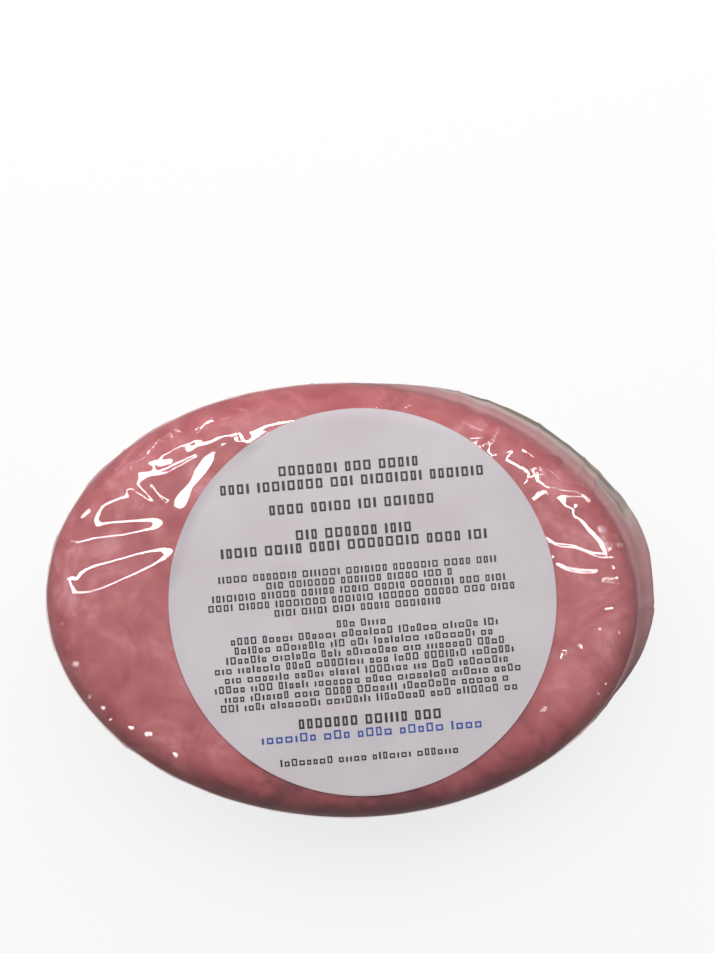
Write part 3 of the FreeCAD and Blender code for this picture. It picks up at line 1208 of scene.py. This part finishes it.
@dataclass
class BackLabel:
    """The round paper label, with rows of plain printed boxes in place of words."""

    form: BarForm
    centre: tuple[float, float]
    radius: float
    underside: float
    thickness: float
    print_angle: float = 6.4
    rings: int = 60
    columns: int = 300
    ink_height: float = 0.012
    stiffness_mm: float = 0.4

    @staticmethod
    def from_frame(form: BarForm) -> "BackLabel":
        """Reads the label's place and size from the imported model."""
        low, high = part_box(Node.LABEL.value)
        return BackLabel(
            form=form,
            centre=((high.x + low.x) / 2 / MM, (high.y + low.y) / 2 / MM),
            radius=(high.x - low.x) / 2 / MM,
            underside=low.z / MM,
            thickness=(high.z - low.z) / MM,
        )

    def rise(self, x: np.ndarray, y: np.ndarray, face: FaceRelief) -> np.ndarray:
        """How far the paper lies above its flat place: over creases at its edge, down at the rim.

        Args:
            x: the points' x.
            y: the points' y.
            face: the film's relief under the label.

        Returns:
            The paper's rise, in millimetres.
        """
        past = np.clip(self.form.outside(x, y) + self.form.face_rounding - self.stiffness_mm, 0, None)
        return face.lift(x, y) - past ** 2 / (2 * self.form.face_rounding)

    def build(self, material: bpy.types.Material, face: FaceRelief) -> bpy.types.Object:
        """Builds the paper.

        Args:
            material: the paper's material.
            face: the film's relief under the label.

        Returns:
            The label's object.
        """
        turn = np.linspace(0, FULL_TURN, self.columns, endpoint=False)
        top = self.underside + self.thickness
        reach = [self.radius * (1 - (1 - n / self.rings) ** 1.6) for n in range(1, self.rings + 1)]
        rings = [(radius, self.underside) for radius in reach]
        rings += [(radius, top) for radius in reversed(reach)]
        points = []
        for radius, height in rings:
            x = self.centre[0] + radius * np.cos(turn)
            y = self.centre[1] + radius * np.sin(turn)
            points.append(np.stack([x, y, height + self.rise(x, y, face)], 1))
        label = skin_mesh(
            "paper_label", np.array(points), (*self.centre, self.underside), (*self.centre, top),
        )
        label.data.set_sharp_from_angle(angle=math.radians(50))
        settle(label, material, Slot.LABEL, Node.LABEL)
        return label

    def add_print(self, name: str, lines: list[PrintLine], material: bpy.types.Material,
                  seed: int) -> bpy.types.Object:
        """Lays rows of printed boxes on the paper.

        Args:
            name: the new object's name.
            lines: the rows of print.
            material: the ink's material.
            seed: the seed of the words' lengths.

        Returns:
            The print's object.
        """
        draw = random.Random(seed)
        corners = []
        faces = []
        for line in lines:
            for box in line.boxes(draw):
                outer, inner = box_rings(box)
                start = len(corners)
                ring = outer + inner
                corners += [(*c, 0.0) for c in ring] + [(*c, self.ink_height) for c in ring]
                faces += self.box_faces(start, len(ring))
        flat = np.array(corners)
        angle = math.radians(self.print_angle)
        x = self.centre[0] + flat[:, 0] * math.cos(angle) - flat[:, 1] * math.sin(angle)
        y = self.centre[1] + flat[:, 0] * math.sin(angle) + flat[:, 1] * math.cos(angle)
        z = self.underside + self.thickness + flat[:, 2]
        mesh = bpy.data.meshes.new(name)
        mesh.from_pydata((np.stack([x, y, z], 1) * MM).tolist(), [], faces)
        mesh.update()
        thing = bpy.data.objects.new(name, mesh)
        bpy.context.scene.collection.objects.link(thing)
        settle(thing, material, Slot.LABEL)
        return thing

    @staticmethod
    def box_faces(start: int, corners: int) -> list[tuple[int, ...]]:
        """The faces of one printed box.

        Args:
            start: the number of its first corner.
            corners: four for a bar, eight for an open box.

        Returns:
            The faces, as corner numbers.
        """
        top = start + corners
        faces = []
        for corner in range(4):
            after = (corner + 1) % 4
            faces.append((start + corner, start + after, top + after, top + corner))
            if corners == 8:
                near, next_near = start + 4 + corner, start + 4 + after
                faces.append((next_near, near, near + corners, next_near + corners))
                faces.append((top + corner, top + after, top + 4 + after, top + 4 + corner))
                faces.append((start + after, start + corner, start + 4 + corner, start + 4 + after))
        if corners == 4:
            faces.append((top, top + 1, top + 2, top + 3))
            faces.append((start + 3, start + 2, start + 1, start))
        return faces


@dataclass(frozen=True)
class Studio:
    """The floor, the lamps and the camera above the pack."""

    label_top: float
    camera_distance: float = 120.0
    camera_x: float = 1.53
    camera_y: float = 16.91
    camera_roll: float = 1.8
    pixels_per_mm: float = 7.64
    long_side_pixels: int = 953
    sensor: float = 36.0
    floor_size: float = 3.0
    fill: float = 0.045

    def floor(self, material: bpy.types.Material) -> None:
        """Lays the floor that the pack rests on."""
        half = self.floor_size / 2
        mesh = bpy.data.meshes.new("floor")
        mesh.from_pydata(
            [(-half, -half, 0), (half, -half, 0), (half, half, 0), (-half, half, 0)], [], [(0, 1, 2, 3)],
        )
        floor = bpy.data.objects.new("floor", mesh)
        bpy.context.scene.collection.objects.link(floor)
        mesh.materials.append(material)

    def camera(self) -> None:
        """Sets the camera straight above, turned a little against the bar."""
        data = bpy.data.cameras.new("camera")
        data.sensor_width = self.sensor
        focal_pixels = self.pixels_per_mm * self.camera_distance
        data.lens = self.sensor * focal_pixels / self.long_side_pixels
        data.clip_start = 0.01
        camera = bpy.data.objects.new("camera", data)
        height = self.label_top + self.camera_distance
        camera.location = (self.camera_x * MM, self.camera_y * MM, height * MM)
        camera.rotation_euler = (0, 0, math.radians(self.camera_roll))
        bpy.context.scene.collection.objects.link(camera)
        bpy.context.scene.camera = camera

    def lamp(self, name: str, place: tuple[float, float, float], size: tuple[float, float],
             watts: float, glints_only: bool = False, turn: float = 0.0) -> None:
        """Hangs one area lamp that faces the pack.

        Args:
            name: the lamp's name.
            place: where it hangs, in metres.
            size: its width and height, in metres.
            watts: its power.
            glints_only: true for a lamp that shows in the film's gloss alone.
            turn: its turn about its own axis, in degrees.
        """
        data = bpy.data.lights.new(name, "AREA")
        data.shape = "RECTANGLE"
        data.size, data.size_y = size
        data.energy = watts
        lamp = bpy.data.objects.new(name, data)
        lamp.location = place
        lamp.rotation_mode = "QUATERNION"
        aim = -lamp.location
        straight = aim.to_track_quat("-Z", "Y")
        lamp.rotation_quaternion = straight
        lamp.rotation_quaternion = straight @ (type(straight)((0, 0, 1), math.radians(turn)))
        lamp.visible_diffuse = not glints_only
        lamp.visible_glossy = glints_only
        lamp.visible_transmission = False
        bpy.context.scene.collection.objects.link(lamp)

    def world(self) -> None:
        """Fills the room with even light, white where it shows."""
        world = bpy.data.worlds.new("room")
        world.use_nodes = True
        tree = world.node_tree
        tree.nodes.clear()
        path = add_node(tree, "ShaderNodeLightPath")
        seen = add_node(
            tree, "ShaderNodeMath", {"operation": "MAXIMUM"},
            {0: path.outputs["Is Camera Ray"], 1: path.outputs["Is Glossy Ray"]},
        )
        seen_at_all = add_node(
            tree, "ShaderNodeMath", {"operation": "MAXIMUM"},
            {0: seen.outputs[0], 1: path.outputs["Is Transmission Ray"]},
        )
        fill = add_node(tree, "ShaderNodeBackground", {"Color": linear("#FFFFFF"), "Strength": self.fill})
        white = add_node(tree, "ShaderNodeBackground", {"Color": linear("#FFFFFF"), "Strength": 1.0})
        mixed = add_node(
            tree, "ShaderNodeMixShader", {},
            {0: seen_at_all.outputs[0], 1: fill.outputs[0], 2: white.outputs[0]},
        )
        add_node(tree, "ShaderNodeOutputWorld", {}, {"Surface": mixed.outputs[0]})
        bpy.context.scene.world = world

    def build(self) -> None:
        """Sets up the whole studio."""
        self.floor(StudioBoard().make())
        self.camera()
        self.world()
        self.lamp("window", (-0.05, 0.31, 0.40), (0.90, 0.30), 4.4)
        self.lamp("tube", (0.0, 0.14, 0.65), (1.90, 0.07), 25.0, glints_only=True)
        bpy.context.scene.view_settings.view_transform = "Standard"
        LOG.info("studio: floor, lamps and the camera")


def heading_lines() -> list[PrintLine]:
    """The large rows near the top of the label, and the one above its foot."""
    places = ((17.9, 9.6), (16.0, 17.4), (12.9, 11.2), (9.4, 8.0), (7.7, 18.0), (-15.3, 9.6))
    return [PrintLine(height, half_width, 1.3, 0.86, 0.28, False) for height, half_width in places]


def small_lines() -> list[PrintLine]:
    """The small rows in the middle of the label, and the one at its foot."""
    upper = (18.6, 12.4, 19.6, 20.2, 11.6)
    lower = (3.6, 17.6, 17.2, 18.4, 20.0, 18.8, 20.2, 19.0, 19.6)
    rows = [
        PrintLine(4.3 - 1.22 * number, half_width, 0.9, 0.66, 0.2, False)
        for number, half_width in enumerate(upper)
    ]
    rows += [
        PrintLine(-2.6 - 1.24 * number, half_width, 0.98, 0.66, 0.2)
        for number, half_width in enumerate(lower)
    ]
    rows.append(PrintLine(-20.2, 12.4, 0.95, 0.66, 0.2))
    return rows


def main() -> None:
    """Builds the pack in order, from the inside out, then the studio."""
    logging.basicConfig(level=logging.INFO, format="%(name)s %(message)s")
    form = BarForm.from_frame()
    label = BackLabel.from_frame(form)
    face = FaceRelief(label.centre, label.radius, form.half_length, form.half_width)
    SoapBar(form).build(GlycerineSoap().make())
    ShrinkWrap(form, face).build(PolyolefinFilm().make())
    label.build(UncoatedPaper().make(), face)
    black = TonerInk("black_toner", "#17151A", "#2A272C").make()
    blue = TonerInk("blue_toner", "#16408F", "#2E57A0").make()
    label.add_print("print_headings", heading_lines(), black, 17)
    label.add_print("print_small", small_lines(), black, 23)
    label.add_print("print_blue", [PrintLine(-17.0, 14.6, 1.15, 0.86, 0.22)], blue, 29)
    Studio(label.underside + label.thickness).build()


if __name__ == "__main__":
    main()
